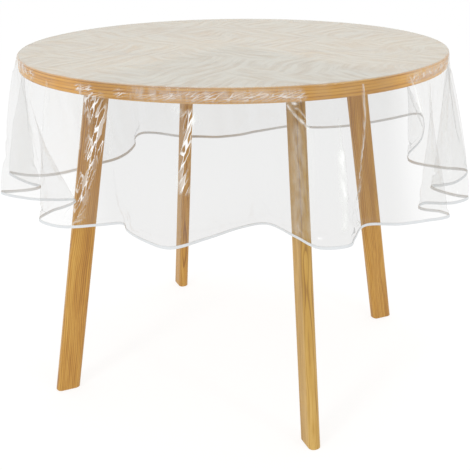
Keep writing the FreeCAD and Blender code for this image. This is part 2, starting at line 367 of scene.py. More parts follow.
@dataclass(frozen=True)
class ClearVinyl:
    """Soft clear vinyl film, calendered smooth and folded in its packet.

    It passes most light straight on, mirrors a little of its surroundings, and has a faint milky
    haze. Where it lies on the tabletop, the air trapped under it makes it look like thin milk, in
    long wrinkles; that milky white is also a painted reflection of the bright studio, lighter and
    darker along the wrinkles. Its sharp creases are stressed white, partly as painted highlights, and
    crumpled patches have white facets and lines painted as glints.

    The mesh's "film" attribute holds how flat it lies (red), how white a crease or a band of painted
    highlight is (green), how crumpled it is (blue) and its faint bands of painted light and shade
    (alpha). Its "fall" attribute holds metres round the cloth, metres down it, and how much painted
    shade darkens the film.

    Attributes:
        tint: sRGB colour that one layer lets through where it is clearest.
        front_shade: sRGB colour that one layer lets through where painted shade darkens it most.
        haze: sRGB colour of the milky scatter.
        crease: sRGB colour of a stressed crease, and of the painted highlights and glints.
        milk_hanging: the share of light that hanging film scatters.
        lying_haze_and_sheen: the share of light that it scatters where it lies on the top, partly haze
            from
        trapped air and partly a painted reflection of the bright studio.
        roughness: the film's own roughness.
        mirror_facing: the share of light that it mirrors seen square on.
        mirror_slant: the share that it mirrors seen edge on.
        edge: how far from the cloth's centre the table's edge is, in metres.
    """

    tint: str = "#fafafa"
    front_shade: str = "#ebebeb"
    haze: str = "#e2e5df"
    crease: str = "#ffffff"
    milk_hanging: float = 0.035
    lying_haze_and_sheen: float = 0.60
    roughness: float = 0.10
    mirror_facing: float = 0.02
    mirror_slant: float = 0.24
    edge: float = 0.457

    def material(self) -> bpy.types.Material:
        """Builds the film from a transparent, a glossy and a diffuse shader.

        Returns:
            The material.
        """
        made, tree = new_material("clear vinyl film")
        place = add_node(tree, "ShaderNodeTexCoord").outputs["UV"]
        state = add_node(tree, "ShaderNodeAttribute", {"attribute_name": "film"})
        lying, crease_and_highlight, crumpled = add_node(tree, "ShaderNodeSeparateColor",
                                            links={0: state.outputs["Color"]}).outputs[0:3]
        fall = add_node(tree, "ShaderNodeAttribute", {"attribute_name": "fall"}).outputs["Vector"]
        wrinkle = self.wrinkles(tree, place)
        painted_glints, facets = self.painted_glints(tree, fall)
        # Painted glints of the crumple; below, the ridges' white joins them, partly stress whitening,
        # partly painted highlight.
        white = add_node(tree, "ShaderNodeMath", {"operation": "MULTIPLY"},
                         {0: painted_glints, 1: crumpled}).outputs[0]
        # A ridge's white, partly stress whitening and partly painted highlight, is stronger and weaker
        # along its run, in patches 8 mm by 30 mm.
        patch = add_node(tree, "ShaderNodeVectorMath", {"operation": "MULTIPLY", 1: (120.0, 33.0, 0.0)},
                         {0: fall}).outputs[0]
        patch = add_node(tree, "ShaderNodeTexNoise", {"Scale": 1.0, "Detail": 3.0},
                         {"Vector": patch}).outputs["Fac"]
        patch = add_node(tree, "ShaderNodeMapRange", {1: 0.35, 2: 0.60, 3: 0.35, 4: 1.0},
                         {"Value": patch}).outputs[0]
        ridge = add_node(tree, "ShaderNodeMath", {"operation": "MULTIPLY"},
                         {0: patch, 1: crease_and_highlight}).outputs[0]
        white = add_node(tree, "ShaderNodeMath", {"operation": "MAXIMUM"},
                         {0: white, 1: ridge}).outputs[0]
        # The milk: thin on hanging film, lighter and darker in bands of painted light and shade; thick
        # and wrinkled on the top, where it is also a painted reflection of the bright studio; thickest
        # in creases, whose white is partly painted highlight and glint.
        thick = add_node(tree, "ShaderNodeMapRange",
                         {1: 0.34, 2: 0.58, 3: self.lying_haze_and_sheen - 0.13, 4: self.lying_haze_and_sheen + 0.05},
                         {"Value": wrinkle}).outputs[0]
        thin = add_node(tree, "ShaderNodeMapRange",
                        {1: 0.2, 2: 0.8, 3: 0.5 * self.milk_hanging, 4: 1.6 * self.milk_hanging},
                        {"Value": state.outputs["Alpha"]}).outputs[0]
        milk = add_node(tree, "ShaderNodeMix", links={0: lying, 2: thin, 3: thick}).outputs[0]
        milk = add_node(tree, "ShaderNodeMath", {"operation": "MAXIMUM"}, {0: milk, 1: white}).outputs[0]
        colour = add_node(tree, "ShaderNodeMix",
                          {"data_type": "RGBA", 6: linear(self.haze), 7: linear(self.crease)},
                          {0: white}).outputs[2]
        relief = add_node(tree, "ShaderNodeMath", {"operation": "MULTIPLY"},
                          {0: facets, 1: crumpled}).outputs[0]
        relief = add_node(tree, "ShaderNodeMath", {"operation": "MULTIPLY_ADD", 1: 0.6},
                          {0: wrinkle, 2: relief}).outputs[0]
        bump = add_node(tree, "ShaderNodeBump", {"Strength": 0.5, "Distance": 0.004},
                        {"Height": relief}).outputs[0]
        facing = add_node(tree, "ShaderNodeLayerWeight", {"Blend": 0.5},
                          {"Normal": bump}).outputs["Facing"]
        slant = add_node(tree, "ShaderNodeMath", {"operation": "POWER", 1: 4.0}, {0: facing}).outputs[0]
        mirror = add_node(tree, "ShaderNodeMapRange",
                          {1: 0.0, 2: 1.0, 3: self.mirror_facing, 4: self.mirror_slant},
                          {"Value": slant}).outputs[0]
        # Painted shade: the film passes less light at the front, where one layer would vanish against
        # white.
        shade_share = add_node(tree, "ShaderNodeSeparateXYZ", links={0: fall}).outputs["Z"]
        passed = add_node(tree, "ShaderNodeMix",
                          {"data_type": "RGBA", 6: linear(self.tint), 7: linear(self.front_shade)},
                          {0: shade_share}).outputs[2]
        through = add_node(tree, "ShaderNodeBsdfTransparent", links={"Color": passed})
        cloud = add_node(tree, "ShaderNodeBsdfDiffuse", links={"Color": colour, "Normal": bump})
        gloss = add_node(tree, "ShaderNodeBsdfGlossy", {"Roughness": self.roughness},
                         {"Normal": bump})
        body = add_node(tree, "ShaderNodeMixShader", links={0: milk, 1: through.outputs[0],
                                                            2: cloud.outputs[0]})
        film = add_node(tree, "ShaderNodeMixShader", links={0: mirror, 1: body.outputs[0],
                                                            2: gloss.outputs[0]})
        add_node(tree, "ShaderNodeOutputMaterial", links={"Surface": film.outputs[0]})
        return made

    def wrinkles(self, tree: bpy.types.NodeTree,
                 place: bpy.types.NodeSocket) -> bpy.types.NodeSocket:
        """Adds the wrinkles on the top: some 18 mm wide and 130 mm long, turned by a slow warp.

        Args:
            tree: the material's node tree.
            place: the flat film's own coordinates, in metres.

        Returns:
            Their height, about one half on average.
        """
        warp = add_node(tree, "ShaderNodeTexNoise", {"Scale": 5.0, "Detail": 1.0},
                        {"Vector": place}).outputs["Color"]
        bent = add_node(tree, "ShaderNodeVectorMath",
                        {"operation": "MULTIPLY_ADD", 1: (0.12, 0.12, 0.0)},
                        {0: warp, 2: place}).outputs[0]
        heights = []
        for turn in (1.05, -0.8):
            turned = add_node(tree, "ShaderNodeMapping",
                              {"vector_type": "TEXTURE", "Rotation": (0.0, 0.0, turn),
                               "Scale": (0.13, 0.018, 1.0)},
                              {"Vector": bent}).outputs[0]
            heights.append(add_node(tree, "ShaderNodeTexNoise",
                                    {"Scale": 1.0, "Detail": 4.0, "Roughness": 0.6},
                                    {"Vector": turned}).outputs["Fac"])
        pick = add_node(tree, "ShaderNodeTexNoise", {"Scale": 6.0, "Detail": 0.0},
                        {"Vector": place}).outputs["Fac"]
        share = add_node(tree, "ShaderNodeMapRange",
                         {"interpolation_type": "SMOOTHSTEP", 1: 0.42, 2: 0.58}, {"Value": pick})
        return add_node(tree, "ShaderNodeMix", links={0: share.outputs[0], 2: heights[0],
                                                      3: heights[1]}).outputs[0]

    def painted_glints(self, tree: bpy.types.NodeTree,
                fall: bpy.types.NodeSocket) -> tuple[bpy.types.NodeSocket, bpy.types.NodeSocket]:
        """Adds the crumple: long facets, some white, with fine white lines between, all painted glints.

        A facet is some 5.5 mm wide and 40 mm long, and leans 20 degrees from the fall of the film.

        Args:
            tree: the material's node tree.
            fall: metres round the cloth and down it.

        Returns:
            How white the painted glints on the facets and their edges are, and the facets' height.
        """
        warp = add_node(tree, "ShaderNodeTexNoise", {"Scale": 50.0, "Detail": 1.0},
                        {"Vector": fall}).outputs["Color"]
        bent = add_node(tree, "ShaderNodeVectorMath",
                        {"operation": "MULTIPLY_ADD", 1: (0.005, 0.003, 0.0)},
                        {0: warp, 2: fall}).outputs[0]
        flat = {"voronoi_dimensions": "2D", "Scale": 1.0}
        made = []
        for turn, size in ((1.25, (0.004, 0.030, 1.0)), (0.35, (0.0055, 0.040, 1.0))):
            long = add_node(tree, "ShaderNodeMapping",
                            {"vector_type": "TEXTURE", "Rotation": (0.0, 0.0, turn), "Scale": size},
                            {"Vector": bent}).outputs[0]
            cells = add_node(tree, "ShaderNodeTexVoronoi", {**flat, "feature": "F1"},
                             {"Vector": long})
            edges = add_node(tree, "ShaderNodeTexVoronoi", {**flat, "feature": "DISTANCE_TO_EDGE"},
                             {"Vector": long})
            chance, other, _ = add_node(tree, "ShaderNodeSeparateColor",
                                        links={0: cells.outputs["Color"]}).outputs[0:3]
            line = add_node(tree, "ShaderNodeMapRange", {1: 0.10, 2: 0.20, 3: 1.0, 4: 0.0},
                            {"Value": edges.outputs["Distance"]}).outputs[0]
            shown = add_node(tree, "ShaderNodeMapRange", {1: 0.30, 2: 0.60, 3: 0.0, 4: 1.0},
                             {"Value": other}).outputs[0]
            line = add_node(tree, "ShaderNodeMath", {"operation": "MULTIPLY"},
                            {0: line, 1: shown}).outputs[0]
            facet = add_node(tree, "ShaderNodeMapRange", {1: 0.70, 2: 1.0, 3: 0.0, 4: 0.55},
                             {"Value": chance}).outputs[0]
            white = add_node(tree, "ShaderNodeMath", {"operation": "MAXIMUM"},
                             {0: line, 1: facet}).outputs[0]
            made.append((white, cells.outputs["Distance"]))
        # On the edge band the facets run round the table, and below it they run down.
        down = add_node(tree, "ShaderNodeSeparateXYZ", links={0: fall}).outputs["Y"]
        below = add_node(tree, "ShaderNodeMapRange",
                         {1: self.edge + 24.0 * MM, 2: self.edge + 32.0 * MM}, {"Value": down})
        return tuple(add_node(tree, "ShaderNodeMix", links={0: below.outputs[0], 2: rim, 3: hanging}
                              ).outputs[0] for rim, hanging in zip(*made))


@dataclass(frozen=True)
class Plain:
    """A finish with one colour that varies a little, for small and hidden pieces.

    Attributes:
        name: what the real material is.
        low: sRGB colour at its darkest.
        high: sRGB colour at its lightest.
        metallic: one for metal, nought for anything else.
        roughness: its typical roughness.
        grit: the size of its variation in metres.
        relief: the height of its surface texture in metres.
    """

    name: str
    low: str
    high: str
    metallic: float = 0.0
    roughness: float = 0.5
    grit: float = 2.0 * MM
    relief: float = 0.05 * MM

    def material(self) -> bpy.types.Material:
        """Builds the finish from one noise for colour, roughness and relief.

        Returns:
            The material.
        """
        made, tree = new_material(self.name)
        place = add_node(tree, "ShaderNodeTexCoord").outputs["Object"]
        grit = add_node(tree, "ShaderNodeTexNoise",
                        {"Scale": 1.0 / self.grit, "Detail": 3.0, "Roughness": 0.6},
                        {"Vector": place}).outputs["Fac"]
        colour = ramp(tree, grit, [(0.3, self.low), (0.7, self.high)])
        rough = add_node(tree, "ShaderNodeMapRange",
                         {1: 0.3, 2: 0.7, 3: self.roughness - 0.06, 4: self.roughness + 0.06},
                         {"Value": grit}).outputs[0]
        bump = add_node(tree, "ShaderNodeBump", {"Strength": 0.5, "Distance": self.relief},
                        {"Height": grit}).outputs[0]
        shader = add_node(tree, "ShaderNodeBsdfPrincipled", {"Metallic": self.metallic},
                          {"Base Color": colour, "Roughness": rough, "Normal": bump})
        add_node(tree, "ShaderNodeOutputMaterial", links={"Surface": shader.outputs[0]})
        return made


# Fibreboard: pressed fibres, brown and matt.
FIBREBOARD = Plain("fibreboard", "#8d7350", "#a88c66", roughness=0.85, grit=3.0 * MM)
# Zinc plated steel: bright grey with a soft, uneven shine.
ZINC_STEEL = Plain("zinc plated steel", "#9a9c9f", "#c4c6c9", metallic=1.0, roughness=0.35,
                   grit=6.0 * MM)
# Turned brass: yellow metal, a little dulled.
TURNED_BRASS = Plain("turned brass", "#b08d4a", "#cdae6a", metallic=1.0, roughness=0.3)


@dataclass(frozen=True)
class VinylTape:
    """White vinyl binding tape: soft plastic with a faint leather emboss, drawn in where it is sewn.

    Its UV holds metres along and across the tape.

    Attributes:
        low: sRGB colour of the emboss.
        high: sRGB colour of the face.
        row: where the row of stitches runs, in metres down the tape from its middle.
        groove: half the width of the groove that the thread pulls in.
    """

    low: str = "#d0d3d5"
    high: str = "#dcdfe1"
    row: float = -1.9 * MM
    groove: float = 0.7 * MM

    def material(self) -> bpy.types.Material:
        """Builds the tape with its emboss, 1 mm across, and its groove.

        Returns:
            The material.
        """
        made, tree = new_material("white vinyl tape")
        place = add_node(tree, "ShaderNodeTexCoord").outputs["UV"]
        across = add_node(tree, "ShaderNodeSeparateXYZ", links={0: place}).outputs["Y"]
        emboss = add_node(tree, "ShaderNodeTexNoise", {"Scale": 1000.0, "Detail": 2.0},
                          {"Vector": place}).outputs["Fac"]
        off = add_node(tree, "ShaderNodeMath", {"operation": "SUBTRACT", 1: self.row},
                       {0: across}).outputs[0]
        off = add_node(tree, "ShaderNodeMath", {"operation": "ABSOLUTE"}, {0: off}).outputs[0]
        depth = add_node(tree, "ShaderNodeMapRange",
                         {"interpolation_type": "SMOOTHSTEP", 1: 0.0, 2: self.groove, 3: -3.0, 4: 0.0},
                         {"Value": off}).outputs[0]
        face = ramp(tree, emboss, [(0.35, self.low), (0.6, self.high)])
        rough = add_node(tree, "ShaderNodeMapRange", {1: 0.3, 2: 0.7, 3: 0.42, 4: 0.56},
                         {"Value": emboss}).outputs[0]
        height = add_node(tree, "ShaderNodeMath", {"operation": "ADD"},
                          {0: depth, 1: emboss}).outputs[0]
        bump = add_node(tree, "ShaderNodeBump", {"Strength": 0.6, "Distance": 0.1 * MM},
                        {"Height": height}).outputs[0]
        skin = add_node(tree, "ShaderNodeBsdfPrincipled",
                        links={"Base Color": face, "Roughness": rough, "Normal": bump})
        add_node(tree, "ShaderNodeOutputMaterial", links={"Surface": skin.outputs[0]})
        return made


# Polyester thread: white, matt, twisted from fine filaments.
THREAD = Plain("polyester thread", "#e2e3e2", "#f4f4f2", roughness=0.7, grit=0.6 * MM)


# ---- The oak table --------------------------------------------------------------------------
@dataclass
class OakTable:
    """The table: its CAD pieces, and the sizes that the cloth needs from them.

    Attributes:
        lean: how far the legs lean from upright, in radians.
        top_radius: the tabletop's radius.
        top_height: the height of the tabletop's face.
    """

    lean: float = math.atan2(126.0, 718.0)
    top_radius: float = field(init=False)
    top_height: float = field(init=False)

    def __post_init__(self) -> None:
        """Reads the tabletop's radius and height from the frame."""
        low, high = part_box("edge_band")
        self.top_radius = (high.x - low.x) / 2.0
        self.top_height = high.z

    def leg_azimuth(self, leg: str) -> float:
        """The azimuth, in radians, of a leg's plate as seen from the table's axis."""
        low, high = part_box("leg_plate_" + leg)
        return math.atan2(low.y + high.y, low.x + high.x)

    def dress(self) -> None:
        """Gives every CAD piece of the table its finish."""
        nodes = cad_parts
        veneer = Oak("oak veneer", Grain.ALONG_X, light="#e0bd85", middle="#d2a566", dark="#b98748",
                     heart=(0.7, 0.02), ring=5.0 * MM, sway=0.012).material()
        band = Oak("oak edge band", Grain.ROUND_RIM, light="#e9b85b", middle="#d99e40",
                   dark="#ad7128", heart=(0.02, 1.6), ring=5.0 * MM, sway=0.008,
                   radius=self.top_radius).material()
        dress(nodes["top_veneer"], veneer)
        dress(nodes["underside_veneer"], veneer)
        dress(nodes["edge_band"], band)
        dress(nodes["tabletop_core"], FIBREBOARD.material())
        steel, brass = ZINC_STEEL.material(), TURNED_BRASS.material()
        # The front leg was cut from a paler board than the other three.
        pale = Oak("oak leg front", Grain.ALONG_LEG, light="#cfa95c", middle="#bb913f",
                   dark="#946a2a")
        for number, leg in enumerate(("front", "right", "back", "left")):
            # Each leg comes from its own place in the log, so that no two have the same lines.
            board = pale if leg == "front" else Oak("oak leg " + leg, Grain.ALONG_LEG)
            wood = replace(board, azimuth=self.leg_azimuth(leg), lean=self.lean,
                           heart=(0.30 + 0.012 * number, 0.03 - 0.01 * number))
            dress(nodes["leg_" + leg], wood.material())
            dress(nodes["leg_plate_" + leg], steel)
            dress(nodes["plate_screws_" + leg], steel)
            dress(nodes["leg_bolts_" + leg], steel)
            dress(nodes["leg_inserts_" + leg], brass)
            log.info("leg %s dressed", leg)


# ---- The cloth ------------------------------------------------------------------------------
class CreaseKind(Enum):
    """What a mark on the film is."""

    # A soft milky band is painted light on the film: a highlight down the skirt, a reflection where the
    # film turns away at the top's edge.
    RIDGE = "a fold line, stressed white, or a soft milky band"
    CRUMPLE = "a band of small facets"


@dataclass(frozen=True)
class Crease:
    """A mark on the hanging film. Most are creases and crumples that handling left; the soft milky
    bands are painted highlights and reflections.

    Attributes:
        kind: what it is.
        path: its points, as (azimuth in degrees, millimetres down from the table's edge).
        width: how wide it is, in metres.
        depth: how strong it is, from nought to one.
        rise: how far the film stands out along it, in metres.
    """

    kind: CreaseKind
    path: tuple[tuple[float, float], ...]
    width: float
    depth: float = 1.0
    rise: float = 0.0

    def strength(self, across: Array, down: Array, radius: float) -> Array:
        """How near each point is to the crease: one on its path, falling to nought at its width.

        The distance to each straight piece of the path is measured on the flat film, with the
        azimuth turned to a length by the radius.

        Args:
            across: the points' azimuths in radians.
            down: their distances down from the table's edge, in metres.
            radius: what turns an azimuth to a length, in metres.

        Returns:
            The strength at each point.
        """
        near = np.full(np.broadcast(across, down).shape, np.inf)
        places = np.radians([place[0] for place in self.path])
        depths = np.array([place[1] for place in self.path]) * MM
        for first in range(len(self.path) - 1):
            turn = (across - places[first] + np.pi) % (2.0 * np.pi) - np.pi
            x, y = turn * radius, down - depths[first]
            side = (places[first + 1] - places[first]) * radius
            fall = depths[first + 1] - depths[first]
            share = np.clip((x * side + y * fall) / (side ** 2 + fall ** 2), 0.0, 1.0)
            near = np.minimum(near, np.hypot(x - share * side, y - share * fall))
        return self.depth * smoothstep(1.0 - near / self.width)


RIDGE, CRUMPLE = CreaseKind.RIDGE, CreaseKind.CRUMPLE
CREASES = (
    # Over the front leg: a folded corner, stressed white and partly a painted highlight, and the soft
    # edge below it, whose broad white bands are a painted highlight.
    Crease(RIDGE, ((281, 34), (284, 27)), 2.5 * MM, 0.9, 1.0 * MM),
    Crease(RIDGE, ((281, 36), (282.3, 51), (285, 75)), 4.5 * MM, 0.75, 2.0 * MM),
    Crease(RIDGE, ((281.4, 36), (283, 40), (285, 62)), 2.0 * MM, 0.6),
    Crease(RIDGE, ((285.2, 79), (284.4, 171), (283, 285)), 12.0 * MM, 0.22, 3.0 * MM),
    Crease(RIDGE, ((282.5, 79), (281.7, 171), (280.3, 285)), 26.0 * MM, 0.26),
    # Over the right leg: one long curved fold, stressed white and partly a painted highlight. Left
    # of it, a broad painted highlight down the film, milky white.
    Crease(RIDGE, ((299.2, 10), (299, 56), (298.2, 114), (297, 184)), 3.5 * MM, 0.8, 2.5 * MM),
    Crease(RIDGE, ((297, 184), (294, 250), (290.5, 300)), 9.0 * MM, 0.2, 2.5 * MM),
    Crease(RIDGE, ((291.6, 70), (291.2, 130)), 9.0 * MM, 0.5, 2.0 * MM),
    Crease(RIDGE, ((291.2, 125), (291.0, 170), (290.4, 205)), 17.0 * MM, 0.9, 3.0 * MM),
    Crease(RIDGE, ((290.6, 205), (289.4, 262)), 12.0 * MM, 0.6, 2.0 * MM),
    Crease(RIDGE, ((314, 14), (314.8, 47), (315, 78)), 4.0 * MM, 0.9, 1.5 * MM),
    # Soft folds down both sides, and a thin one beside the left leg, whitened along them as painted
    # highlights.
    Crease(RIDGE, ((234, 10), (234.4, 60), (233.6, 130)), 4.5 * MM, 0.55, 1.0 * MM),
    Crease(RIDGE, ((204, 10), (205.5, 90), (205, 200)), 9.0 * MM, 0.30, 1.5 * MM),
    Crease(RIDGE, ((213, 30), (213.5, 120), (212.5, 240)), 11.0 * MM, 0.28, 1.5 * MM),
    Crease(RIDGE, ((222, 20), (222.5, 110)), 8.0 * MM, 0.30, 1.5 * MM),
    Crease(RIDGE, ((321, 30), (322.5, 120), (322, 190)), 9.0 * MM, 0.30, 1.5 * MM),
    Crease(RIDGE, ((331, 20), (333, 110), (334, 220)), 10.0 * MM, 0.28, 1.5 * MM),
    Crease(RIDGE, ((345, 40), (346, 160)), 10.0 * MM, 0.25, 1.5 * MM),
    # Painted reflection, milky white, where the film turns away at both ends of the top and at its
    # front edge.
    Crease(RIDGE, ((165, 4), (185, 4), (206, 4)), 30.0 * MM, 0.6),
    Crease(RIDGE, ((316, 12), (335, 8), (360, 4), (375, 4)), 30.0 * MM, 0.3),
    Crease(RIDGE, ((248, 14), (264, 14), (283, 16)), 24.0 * MM, 0.34),
    # Crumpled bands: over the left leg, over the back leg, and along the table's edge. Their white
    # facets and lines are painted glints.
    Crease(CRUMPLE, ((237.5, 42), (240, 70), (239.5, 115)), 40.0 * MM, 1.0, 2.0 * MM),
    Crease(CRUMPLE, ((238.5, 90), (237, 140), (235, 190), (233, 235)), 24.0 * MM, 0.9, 2.0 * MM),
    Crease(CRUMPLE, ((233, 235), (232, 285)), 24.0 * MM, 0.5, 1.0 * MM),
    Crease(CRUMPLE, ((297.5, 190), (296.8, 235), (296, 280)), 15.0 * MM, 0.6, 1.0 * MM),
    Crease(CRUMPLE, ((260.8, 48), (259.8, 84), (258.8, 120), (258, 145), (258.2, 185)), 15.0 * MM,
           1.0, 2.0 * MM),
    Crease(CRUMPLE, ((250, 15), (262, 16), (272, 16), (284, 18)), 18.0 * MM, 0.6, 0.6 * MM),
    Crease(CRUMPLE, ((314, 14), (330, 14), (342, 14)), 18.0 * MM, 0.6, 0.6 * MM),
    Crease(CRUMPLE, ((205, 12), (214, 12)), 18.0 * MM, 0.6, 0.6 * MM),
    Crease(CRUMPLE, ((233, 16), (237, 16)), 12.0 * MM, 0.7, 0.6 * MM),
    Crease(CRUMPLE, ((244, 16), (246, 18)), 12.0 * MM, 0.6, 0.6 * MM),
    Crease(CRUMPLE, ((256, 30), (262, 60)), 14.0 * MM, 0.4, 1.0 * MM),
)


@dataclass
class FilmCloth:
    """The round clear cloth, its binding tape and the stitches.

    The hem's outline, seen from above, is a closed curve through the turns of its folds. Each turn
    is (azimuth in degrees, millimetres outside the table's edge, millimetres of extra fall where the
    cloth lies off centre or stretches).

    Attributes:
        table: the table that it lies on.
        diameter: the flat cloth's diameter.
        lie: how far the film's middle lies above the top.
        clear_edge: how far the hanging film keeps from the table's edge.
        bend: half the length of film in the bend at the edge.
        tuck: the share of the overhang that hangs straight before a fold can swing in.
        bell: how much sooner than a straight line an outward fold swings out.
        swing: how much later than a straight line an inward fold swings in.
        columns: points round the cloth.
        rings: rings of points on the top.
        rows: rows of points from the edge to the hem.
        coarse: how many columns one column of the simulated film stands for.
        spare: how much longer the simulated film is than the smooth surface, as a share.
        held_rows: how many of its rows the table's edge holds.
        frames: how many frames it settles for.
        cap: how far a point may move as it settles.
        sewn: how far above the hem the tape holds the film.
        fade: the length of film above that over which it gets free.
        tape_half_width: half the width of the folded tape.
        tape_half_thick: half its thickness.
        tape_rise: how far above the film's edge its middle is.
        hem_turns: the turns of the hem's folds.
        hem_line: the built film's last row.
        hem_fall: which way the film falls there.
    """

    table: OakTable
    diameter: float = 1.524
    lie: float = 0.4 * MM
    clear_edge: float = 1.4 * MM
    bend: float = 4.0 * MM
    tuck: float = 0.11
    bell: float = 1.35
    swing: float = 1.3
    columns: int = 960
    rings: int = 24
    rows: int = 78
    coarse: int = 3
    spare: float = 0.02
    held_rows: int = 8
    frames: int = 24
    cap: float = 9.0 * MM
    sewn: float = 8.0 * MM
    fade: float = 22.0 * MM
    tape_half_width: float = 3.3 * MM
    tape_half_thick: float = 0.8 * MM
    tape_rise: float = 2.1 * MM
    hem_turns: tuple[tuple[float, float, float], ...] = (
        (-80, -95, 0), (-74, -50, 0), (-70, 5, 0), (-64, 20, 0), (-60, -8, 0), (-53, -40, 0),
        (-45, 2, 0), (-40, 32, 0), (-36, 62, 0), (-32, 30, 0), (-30, -20, 0), (-26, -15, 0),
        (-23, 45, 0), (-20, 66, 0), (-17, 35, 0), (-10, -15, 0), (-7, 40, 0), (0, 78, 0),
        (7, 30, 0), (15, -12, 0), (23, 20, 0), (29, 105, 0), (36, 164, 4), (44, 128, 6),
        (56, 60, 5), (64, 28, 0), (67, 42, 0), (76, 2, 2), (82, -45, 5), (88, -82, 14),
        (97, -95, 17), (106, -80, 9), (116, 5, 0), (121, 30, 0), (125, 10, 0), (131, -58, 8),
        (141, -103, 26), (152, -122, 36), (162, -118, 34), (169, -92, 26), (174, -30, 14),
        (177, 68, 0), (182, 20, 0), (187, -19, 0), (190, 35, 0), (192, 64, 0), (196, 15, 0),
        (203, -50, 0), (209, -78, 0), (211, -20, 0), (216, 23, 0), (222, 10, 0), (230, -45, 0),
        (236, -70, 0), (239, -55, 0), (247, -32, 0), (254, -19, 0), (262, -60, 0), (272, -93, 0),
    )
    hem_line: Array = field(init=False)
    hem_fall: Array = field(init=False)

    @property
    def overhang(self) -> float:
        """The length of film from the table's edge to the hem."""
        return self.diameter / 2.0 - self.table.top_radius

    def hem_outline(self) -> tuple[Array, Array, Array]:
        """The hem seen from above, at evenly spaced places round the cloth.

        A cubic runs between each two turns. Its slope at a turn is the centripetal Catmull-Rom one:
        the mean of the chords on both sides, each weighted by the root of the other's length.

        Returns:
            The azimuth of each column of film on the flat cloth, the hem's (x, y) there, and the
            extra fall there.
        """
        turns = np.array(self.hem_turns, float)
        angle, radius = np.radians(turns[:, 0]), self.table.top_radius + turns[:, 1] * MM
        p1 = np.stack([radius * np.cos(angle), radius * np.sin(angle), turns[:, 2] * MM], axis=1)
        p0, p2, p3 = np.roll(p1, 1, 0), np.roll(p1, -1, 0), np.roll(p1, -2, 0)
        d1 = np.sqrt(np.linalg.norm(p2 - p1, axis=1))[:, None]
        d0, d2 = np.roll(d1, 1, 0), np.roll(d1, -1, 0)
        m1 = d1 * ((p1 - p0) / d0 - (p2 - p0) / (d0 + d1) + (p2 - p1) / d1)
        m2 = d1 * ((p2 - p1) / d1 - (p3 - p1) / (d1 + d2) + (p3 - p2) / d2)
        between_turns = 40
        t = np.linspace(0.0, 1.0, between_turns, endpoint=False)[None, :, None]
        p1, p2, m1, m2 = (a[:, None, :] for a in (p1, p2, m1, m2))
        blend = 3.0 * t ** 2 - 2.0 * t ** 3
        line = (1 - blend) * p1 + blend * p2
        line = line + (t ** 3 - 2 * t ** 2 + t) * m1 + (t ** 3 - t ** 2) * m2
        line = line.reshape(-1, 3)
        line = np.vstack([line, line[:1]])
        length = np.r_[0.0, np.cumsum(np.linalg.norm(np.diff(line[:, :2], axis=0), axis=1))]
        seen = np.unwrap(np.arctan2(line[:, 1], line[:, 0]))
        shift = float((seen - 2.0 * np.pi * length / length[-1]).mean())
        azimuth = np.arange(self.columns) * 2.0 * np.pi / self.columns
        at = ((azimuth - shift) % (2.0 * np.pi)) / (2.0 * np.pi) * length[-1]
        hem = between(at, length, line)
        return azimuth, hem[:, :2], hem[:, 2]

    def surface(self) -> tuple[Array, Array, Array]:
        """The film as a grid: one row for each distance from its centre, one column each way.

        Down each column the film keeps its length. On the top it runs straight out. Past the edge
        its level speed is a share of the hem's offset, and its downward speed is what is left of
        one, by Pythagoras. Outward offsets follow one minus (1 - v) to the power bell, and inward
        ones the power swing of v, once past the tuck.

        Returns:
            Points (rows, columns, 3), distances from the centre, and the columns' azimuths.
        """
        azimuth, hem, extra = self.hem_outline()
        radial = np.stack([np.cos(azimuth), np.sin(azimuth)], axis=1)
        sideways = np.stack([-np.sin(azimuth), np.cos(azimuth)], axis=1)
        radius = self.table.top_radius
        offset = hem - radius * radial
        outward, round_ = (offset * radial).sum(1), (offset * sideways).sum(1)
        # Each column is followed in short steps from 10 mm inside the edge down to the hem.
        start, steps = radius - 10.0 * MM, 600
        fine = np.linspace(start, radius + self.overhang, steps)
        step = fine[1] - fine[0]
        middle = (fine[1:] + fine[:-1])[:, None] / 2.0
        v = np.clip((middle - radius) / self.overhang, 0.0, 1.0)
        bell = self.bell * (1.0 - v) ** (self.bell - 1.0)
        late = np.clip((v - self.tuck) / (1.0 - self.tuck), 0.0, 1.0)
        swing = self.swing * late ** (self.swing - 1.0) / (1.0 - self.tuck) * (v > self.tuck)
        share = smoothstep((middle - (radius + self.clear_edge - self.bend)) / (2.0 * self.bend))
        level = (1.0 - share) + share * np.where(outward > 0, bell, swing) * outward / self.overhang
        across = share * round_ / self.overhang
        down = -np.sqrt(np.clip(1.0 - level ** 2 - across ** 2, 0.0, 1.0))
        down = down * (1.0 + (v > 0.0) * extra / self.overhang)
        level, across, down = (np.vstack([np.zeros(self.columns), np.cumsum(a, 0) * step])
                               for a in (level, across, down))
        distances = self.distances()
        level, across, down = (between(distances[self.rings:], fine, a)
                               for a in (level, across, down))
        flat = (start + level)[..., None] * radial + across[..., None] * sideways
        floor = self.table.top_height + self.lie
        skirt = np.dstack([flat, floor + down])
        top = distances[:self.rings, None, None] * radial
        top = np.dstack([top, np.full(top.shape[:2], floor)])
        return np.vstack([top, skirt]), distances, azimuth

